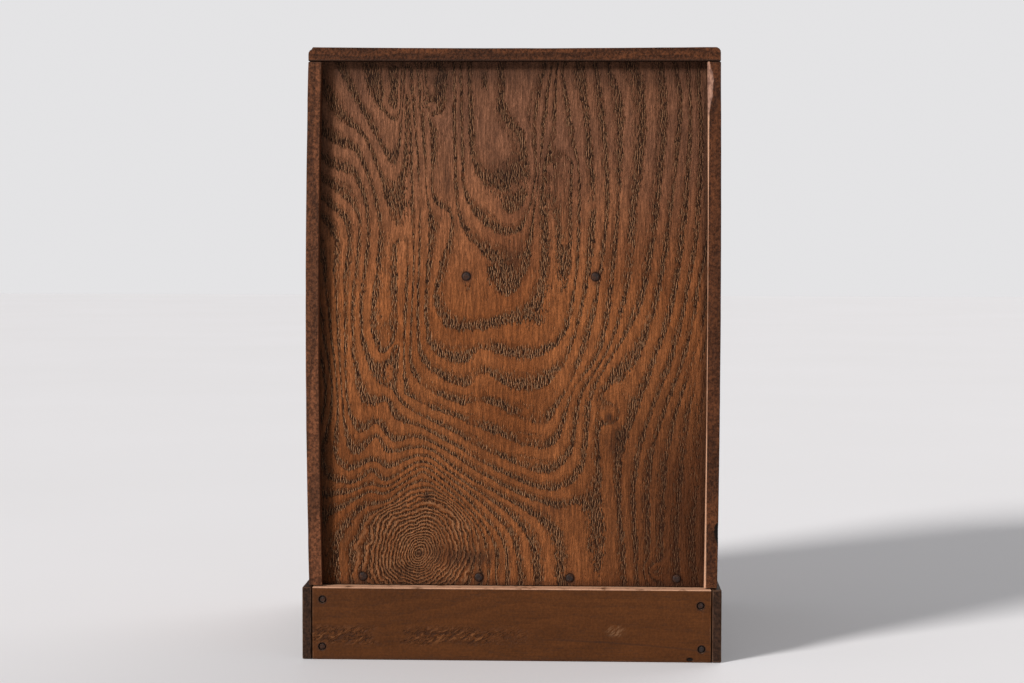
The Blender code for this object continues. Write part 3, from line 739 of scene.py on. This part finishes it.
def copy_of(node):
    """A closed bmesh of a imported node, with its flat faces whole again."""
    bm = bmesh.new()
    bm.from_mesh(frame["nodes"][node].data)
    bmesh.ops.remove_doubles(bm, verts=bm.verts, dist=0.002 * MM)
    for face in bm.faces:
        face.material_index = 0
    bmesh.ops.dissolve_limit(bm, angle_limit=math.radians(0.2), verts=bm.verts, edges=bm.edges)
    return bm


def slice_along(bm, axis, spacing):
    """Cuts every face at even steps along an axis, so that the arrises can wander."""
    places = [vert.co[axis] for vert in bm.verts]
    low, high = min(places), max(places)
    direction = [0.0, 0.0, 0.0]
    direction[axis] = 1.0
    for place in np.arange(low + spacing, high - spacing / 2, spacing):
        point = [0.0, 0.0, 0.0]
        point[axis] = place
        geometry = bm.verts[:] + bm.edges[:] + bm.faces[:]
        bmesh.ops.bisect_plane(bm, geom=geometry, plane_co=point, plane_no=direction, dist=1e-6)


SHARP_ARRIS = math.radians(50)
SHORT_EDGE = 4 * MM
OUTER_MARGIN = 2.5 * MM
WORN_MARGIN = 1.2 * MM


def worn_mesh(node, axis, round_over, wander, spacing, seed):
    """The node with its long arrises rounded unevenly, by hand planing and handling."""
    bm = copy_of(node)
    low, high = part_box(node)

    def on_arris(vert, margin):
        """Whether a point lies within the margin of two sides of the box or more."""
        gaps = [min(vert.co[i] - low[i], high[i] - vert.co[i]) for i in range(3)]
        return sum(gap < margin for gap in gaps) >= 2

    outer = [
        edge
        for edge in bm.edges
        if edge.is_manifold
        and edge.calc_face_angle_signed(0.0) > SHARP_ARRIS
        and edge.calc_length() > SHORT_EDGE
        and all(on_arris(vert, OUTER_MARGIN) for vert in edge.verts)
    ]
    bmesh.ops.bevel(
        bm, geom=outer, offset=round_over, segments=3, profile=0.5, affect="EDGES", clamp_overlap=True
    )
    slice_along(bm, axis, spacing)
    bm.normal_update()
    for vert in bm.verts:
        place = vert.co + Vector((seed * 1.7, seed * 0.9, seed * 2.3))
        rubbed = noise.noise(place * 55) * 0.6 + noise.noise(place * 210) * 0.4
        if on_arris(vert, WORN_MARGIN):
            vert.co -= vert.normal * wander * (0.5 + 0.5 * rubbed)
    return bm


def board(
    node, body, grain, wood, seed,
    round_over=0.5 * MM, wander=0.22 * MM, spacing=7 * MM, extra=None, shape=None,
):
    """Replaces a wooden node by a worn board in a material of its own."""
    bm = worn_mesh(node, longest(node), round_over, wander, spacing, seed)
    if shape:
        shape(bm)
    low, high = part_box(node)
    material = wood_look(f"{node}_wood", low, high, grain, wood, seed, extra)
    made = object_of(f"{node}_board", bm, [material])
    even_normals(made)
    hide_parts(node)
    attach(made, body)
    return made


def longest(node):
    """The axis on which a node is longest: 0, 1 or 2."""
    low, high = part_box(node)
    sizes = list(high - low)
    return sizes.index(max(sizes))


def carve(target, cutter):
    """Cuts one object out of another; the cut faces keep the cutter's material."""
    modifier = target.modifiers.new("carve", "BOOLEAN")
    modifier.operation = "DIFFERENCE"
    modifier.object = cutter
    modifier.material_mode = "TRANSFER"
    bpy.context.view_layer.update()
    graph = bpy.context.evaluated_depsgraph_get()
    mesh = bpy.data.meshes.new_from_object(target.evaluated_get(graph), depsgraph=graph)
    target.modifiers.clear()
    target.data = mesh
    even_normals(target)
    bpy.data.objects.remove(cutter)


def lens_cutter(name, place, across, into, half_length, width, depth, material, seed):
    """A long splinter's shape along +Z: widest above its middle, with a rough floor."""
    stations = 26
    bm = bmesh.new()
    rings = []
    for i in range(stations + 1):
        t = 2 * i / stations - 1
        share = (i / stations) ** 1.6
        full = max(0.02, 1 - abs(2 * share - 1) ** 2.2)
        ragged = 1 + 0.35 * noise.noise(Vector((seed, t * 6, 0)))
        wide, deep = width * full * ragged, depth * full * (2 - ragged)
        base = place + Vector((0, 0, t * half_length))
        floor_share = 0.5 + 0.3 * noise.noise(Vector((t * 11, seed, 1)))
        outline = [
            base - across * 1.2 * MM - into * 1.0 * MM,
            base + across * wide - into * 1.0 * MM,
            base + across * wide,
            base + across * wide * 0.45 + into * deep * floor_share,
            base - across * 0.2 * MM + into * deep,
            base - across * 1.2 * MM + into * deep,
        ]
        rings.append([bm.verts.new(point) for point in outline])
    for lower, upper in zip(rings, rings[1:]):
        for k in range(len(lower)):
            n = (k + 1) % len(lower)
            bm.faces.new((lower[k], lower[n], upper[n], upper[k]))
    bm.faces.new(rings[0][::-1])
    bm.faces.new(rings[-1])
    bmesh.ops.recalc_face_normals(bm, faces=bm.faces)
    return object_of(name, bm, [material])


def raw_look(name, clean, dirty):
    """Broken wood with the finish gone, and dust in its fibre."""
    look = Look(name)
    fibre = look.noise(look.fit((1500, 1500, 160)), 4.0, 0.65)
    dirt = look.noise(look.fit((420, 420, 260)), 3.0, 0.6)
    colour = look.mix(look.step(dirt, 0.4, 0.66), clean, dirty)
    colour = look.shade(colour, fibre, 0.7, 1.25)
    rough = look.plus(0.6, look.times(fibre, 0.2))
    return look.surface(colour, rough, fibre, 0.3 * MM)


# ---------------------------------------------------------------- the back panel
RING_GROOVE = 0.14 * MM
NAIL_DIMPLE = 0.34 * MM
DIMPLE_REACH = 3.0 * MM


def panel_board(body):
    """The panel as one slab whose back is a fine grid, sunk a little along each ring."""
    low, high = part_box("back_panel")
    columns = round((high.x - low.x) / (FIELD_STEP * MM))
    rows = round((high.z - low.z) / (FIELD_STEP * MM))
    xs = np.linspace(low.x, high.x, columns + 1)
    zs = np.linspace(low.z, high.z, rows + 1)
    grid_x, grid_z = (part.ravel() for part in np.meshgrid(xs, zs))
    rings = ring_field((grid_x - CARCASS_MIDDLE_X) / MM, grid_z / MM)
    age = rings - np.floor(rings)
    sunk = RING_GROOVE * np.clip(1 - age / 0.5, 0, 1) * np.clip(age / 0.06, 0, 1)
    for node in PANEL_NAILS:
        first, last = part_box(node)
        middle = (first + last) / 2
        reach = np.hypot(grid_x - middle.x, grid_z - middle.z)
        sunk += NAIL_DIMPLE * np.exp(-((reach / DIMPLE_REACH) ** 4))
    verts = [Vector((x, low.y + y, z)) for x, y, z in zip(grid_x, sunk, grid_z)]
    wide = columns + 1
    edge = list(range(wide))
    edge += [j * wide + columns for j in range(1, rows + 1)]
    edge += [rows * wide + i for i in range(columns - 1, -1, -1)]
    edge += [j * wide for j in range(rows - 1, 0, -1)]
    faces = []
    for j in range(rows):
        for i in range(columns):
            a = j * wide + i
            faces.append((a, a + 1, a + wide + 1, a + wide))
    front = list(range(len(verts), len(verts) + len(edge)))
    verts += [Vector((verts[i].x, high.y, verts[i].z)) for i in edge]
    for k in range(len(edge)):
        n = (k + 1) % len(edge)
        faces.append((edge[n], edge[k], front[k], front[n]))
    faces.append(tuple(reversed(front)))
    mesh = bpy.data.meshes.new("back_panel_board")
    mesh.from_pydata(verts, [], faces)
    field = mesh.attributes.new("ring", "FLOAT", "POINT")
    field.data.foreach_set("value", np.concatenate([rings, rings[edge]]).astype(np.float32))
    mesh.materials.append(panel_look("panel_figured_wood"))
    mesh.materials.append(wood_look("panel_inner_wood", low, high, "z", CORE, 41))
    mesh.polygons[-1].material_index = 1
    mesh.update()
    mesh.shade_smooth()
    mesh.set_sharp_from_angle(angle=math.radians(50))
    made = bpy.data.objects.new("back_panel_board", mesh)
    bpy.context.scene.collection.objects.link(made)
    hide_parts("back_panel")
    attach(made, body)


# ---------------------------------------------------------------- nails
def forged_nail(node, material, seed):
    """A cut nail with a hammered, not quite round head."""
    low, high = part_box(node)
    middle = (low + high) / 2
    radius, length = (high.x - low.x) / 2, high.y - low.y
    shank = 0.38 * radius
    profile = [
        (0.30 * radius, 0.06 * MM),
        (0.62 * radius, 0.02 * MM),
        (0.86 * radius, 0.10 * MM),
        (0.97 * radius, 0.28 * MM),
        (1.00 * radius, 0.52 * MM),
        (0.95 * radius, 0.80 * MM),
        (shank, 0.88 * MM),
        (shank, length - 3 * shank),
        (0.3 * shank, length - 0.1 * MM),
    ]
    segments = 28
    bm = bmesh.new()
    rings = []
    for k, (reach, depth) in enumerate(profile):
        ring = []
        for i in range(segments):
            angle = 2 * math.pi * i / segments
            across = Vector((math.cos(angle), 0, math.sin(angle)))
            beaten = noise.noise(across * 1.4 + Vector((seed, k * 0.12, seed * 0.7)))
            out = reach * (1 - 0.10 * (0.5 + beaten)) if k < 6 else reach
            dent = max(0.0, 0.12 * MM * (0.5 + noise.noise(across * reach * 900 + Vector((seed, 0, 0)))))
            ring.append(bm.verts.new(Vector((middle.x, low.y + depth + dent, middle.z)) + across * out))
        rings.append(ring)
    for first, second in zip(rings, rings[1:]):
        for i in range(segments):
            n = (i + 1) % segments
            bm.faces.new((first[n], first[i], second[i], second[n]))
    crown = bm.verts.new((middle.x, low.y + 0.09 * MM, middle.z))
    tip = bm.verts.new((middle.x, high.y, middle.z))
    for i in range(segments):
        n = (i + 1) % segments
        bm.faces.new((crown, rings[0][i], rings[0][n]))
        bm.faces.new((tip, rings[-1][n], rings[-1][i]))
    bmesh.ops.recalc_face_normals(bm, faces=bm.faces)
    made = object_of(f"{node}_forged", bm, [material])
    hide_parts(node)
    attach(made, "case")


# ---------------------------------------------------------------- assembly
PANEL_NAILS = [name for name in sorted(frame["nodes"]) if name.startswith("panel_nail")]
PLINTH_NAILS = [name for name in sorted(frame["nodes"]) if name.startswith("plinth_nail")]
DRAWERS = sorted(name for name in frame["bodies"] if name.startswith("drawer"))
TOP_SAG = 0.6 * MM
TOP_CORNER_WEAR = 0.9 * MM
CHIP_INSET = 7.6 * MM  # from the right side's outermost point
CHIP_Z = 293 * MM
CHIP_SIZE = (17.5 * MM, 2.9 * MM, 2.4 * MM)  # half length, width and depth
GOUGE_Z = 66 * MM
GOUGE_SIZE = (7 * MM, 2.4 * MM, 2.6 * MM)


def sag(bm):
    """Lets the top face dip in the middle of its length, and wears its left corner down."""
    low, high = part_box("top_board")
    for vert in bm.verts:
        if vert.co.z > (low.z + high.z) / 2:
            share = (2 * vert.co.x - low.x - high.x) / (high.x - low.x)
            vert.co.z -= TOP_SAG * max(0.0, 1 - share * share)
            if vert.co.x < low.x + 2 * MM:
                vert.co.z -= TOP_CORNER_WEAR


def build_case():
    """The carcass, the plinth, the back panel and the nails."""
    raw = raw_look("broken_wood", srgb(158, 118, 98), srgb(108, 78, 66))
    board("left_side", "case", "z", LEFT_SIDE_LIT, 1, extra=joint_grime)
    right = board("right_side", "case", "z", CASE, 2, extra=right_marks)
    right.data.materials.append(raw)
    board("top_board", "case", "x", CASE, 3, extra=joint_grime, shape=sag)
    low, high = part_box("right_side")
    chip = Vector((high.x - CHIP_INSET, low.y, CHIP_Z))
    across, into = Vector((1, 0, 0)), Vector((0, 1, 0))
    carve(right, lens_cutter("chip", chip, across, into, *CHIP_SIZE, raw, 3))
    dark = raw_look("dirty_gouge", srgb(34, 23, 17), srgb(20, 13, 10))
    outer = max(vert.co.x for vert in right.data.vertices if abs(vert.co.z - GOUGE_Z) < 8 * MM)
    gouge = Vector((outer, low.y, GOUGE_Z))
    right.data.materials.append(dark)
    carve(right, lens_cutter("gouge", gouge, -across, into, *GOUGE_SIZE, dark, 8))
    for node, grain, wood, seed in (
        ("bottom_board", "x", SHELF, 4),
        ("middle_shelf", "x", SHELF, 5),
        ("plinth_left", "y", PLINTH_END, 6),
        ("plinth_right", "y", PLINTH_END, 7),
        ("plinth_front", "x", PLINTH, 8),
    ):
        board(node, "case", grain, wood, seed, round_over=0.7 * MM if "plinth" in node else 0.4 * MM)
    board("plinth_back", "case", "x", PLINTH, 9, round_over=0.5 * MM, extra=plinth_marks)
    small = [n for n in sorted(frame["nodes"]) if "block" in n or "runner" in n]
    for seed, node in enumerate(small, 10):
        board(node, "case", "z" if "block" in node else "y", CORE, seed, round_over=0.3 * MM)
    panel_board("case")
    iron = iron_look("aged_iron")
    for seed, node in enumerate(PANEL_NAILS + PLINTH_NAILS):
        forged_nail(node, iron, 1.3 * seed)


BOX_GRAIN = (("left", "y"), ("right", "y"), ("back", "x"), ("bottom", "x"), ("long_slat", "x"))


def build_drawers():
    """Each drawer's front, box, slats and knob."""
    brass = brass_look("aged_brass")
    for number, body in enumerate(DRAWERS, 1):
        seed = 10 * number
        board(f"{body}_front", body, "x", FRONT, seed + 10, round_over=0.6 * MM)
        for part, grain in BOX_GRAIN:
            seed += 1
            board(f"{body}_{part}", body, grain, INSIDE, seed + 10, round_over=0.3 * MM, wander=0.1 * MM)
        for node in sorted(frame["nodes"]):
            if node.startswith(f"{body}_cross_slat"):
                seed += 1
                board(node, body, "y", INSIDE, seed + 10, round_over=0.3 * MM, wander=0.1 * MM)
        knob = frame["nodes"][f"{body}_knob"]
        for k in range(len(knob.material_slots)):
            knob.material_slots[k].material = brass


# ---------------------------------------------------------------- camera, light and floor
LENS_MM = 70.3
SENSOR_MM = 36.0
CAMERA_PLACE = Vector((0.03285, -1.1270, 0.2111))
CAMERA_YAW = math.radians(-1.83)
CAMERA_PITCH = math.radians(2.52)
CAMERA_ROLL = math.radians(0.16)
KEY_DIRECTION = Vector((1.15, 1.0, -0.72))
KEY_ENERGY = 3.9
KEY_SPREAD = math.radians(13)
BACK_DIRECTION = Vector((-0.5, -1.0, -0.9))
BACK_ENERGY = 0.9
BACK_SPREAD = math.radians(55)
FILL_STRENGTH = 0.27
BACKDROP = 0.783
FLOOR_REACH = 9.0


def place_camera():
    """A long lens behind the case, a little above its middle and to the right of it."""
    forward = Vector((
        math.sin(CAMERA_YAW) * math.cos(CAMERA_PITCH),
        math.cos(CAMERA_YAW) * math.cos(CAMERA_PITCH),
        -math.sin(CAMERA_PITCH),
    ))
    level = Vector((math.cos(CAMERA_YAW), -math.sin(CAMERA_YAW), 0))
    upright = level.cross(forward)
    right = level * math.cos(CAMERA_ROLL) + upright * math.sin(CAMERA_ROLL)
    up = upright * math.cos(CAMERA_ROLL) - level * math.sin(CAMERA_ROLL)
    camera = bpy.data.objects.new("camera", bpy.data.cameras.new("camera"))
    camera.data.lens = LENS_MM
    camera.data.sensor_width = SENSOR_MM
    camera.matrix_world = Matrix((
        (right.x, up.x, -forward.x, CAMERA_PLACE.x),
        (right.y, up.y, -forward.y, CAMERA_PLACE.y),
        (right.z, up.z, -forward.z, CAMERA_PLACE.z),
        (0, 0, 0, 1),
    ))
    bpy.context.scene.collection.objects.link(camera)
    bpy.context.scene.camera = camera


def sun(name, direction, energy, spread):
    """A sun that shines along direction; spread is how wide it looks."""
    lamp = bpy.data.lights.new(name, "SUN")
    lamp.energy = energy
    lamp.angle = spread
    lamp.color = (1.0, 0.985, 0.965)
    made = bpy.data.objects.new(name, lamp)
    made.rotation_mode = "QUATERNION"
    made.rotation_quaternion = direction.to_track_quat("-Z", "Y")
    bpy.context.scene.collection.objects.link(made)


def light_scene():
    """A soft key from the left, a softer light on the drawer side, and an even fill."""
    sun("key", KEY_DIRECTION, KEY_ENERGY, KEY_SPREAD)
    sun("back_light", BACK_DIRECTION, BACK_ENERGY, BACK_SPREAD)
    world = bpy.data.worlds.new("studio")
    bpy.context.scene.world = world
    world.use_nodes = True
    tree = world.node_tree
    tree.nodes.clear()
    fill = tree.nodes.new("ShaderNodeBackground")
    fill.inputs["Color"].default_value = (0.94, 0.96, 1.0, 1.0)
    fill.inputs["Strength"].default_value = FILL_STRENGTH
    seen = tree.nodes.new("ShaderNodeBackground")
    seen.inputs["Color"].default_value = (0.99, 0.985, 1.0, 1.0)
    seen.inputs["Strength"].default_value = BACKDROP
    path = tree.nodes.new("ShaderNodeLightPath")
    blend = tree.nodes.new("ShaderNodeMixShader")
    output = tree.nodes.new("ShaderNodeOutputWorld")
    tree.links.new(path.outputs["Is Camera Ray"], blend.inputs[0])
    tree.links.new(fill.outputs[0], blend.inputs[1])
    tree.links.new(seen.outputs[0], blend.inputs[2])
    tree.links.new(blend.outputs[0], output.inputs[0])
    view = bpy.context.scene.view_settings
    view.view_transform = "Standard"
    view.look = "None"


def lay_floor():
    """A wide plain floor under the object."""
    bm = bmesh.new()
    bmesh.ops.create_grid(bm, x_segments=8, y_segments=8, size=FLOOR_REACH)
    floor = object_of("floor", bm, [floor_look("floor_paper")])
    floor.location.z = CAD_LOW.z


build_case()
build_drawers()
place_camera()
light_scene()
lay_floor()

bpy.context.view_layer.update()
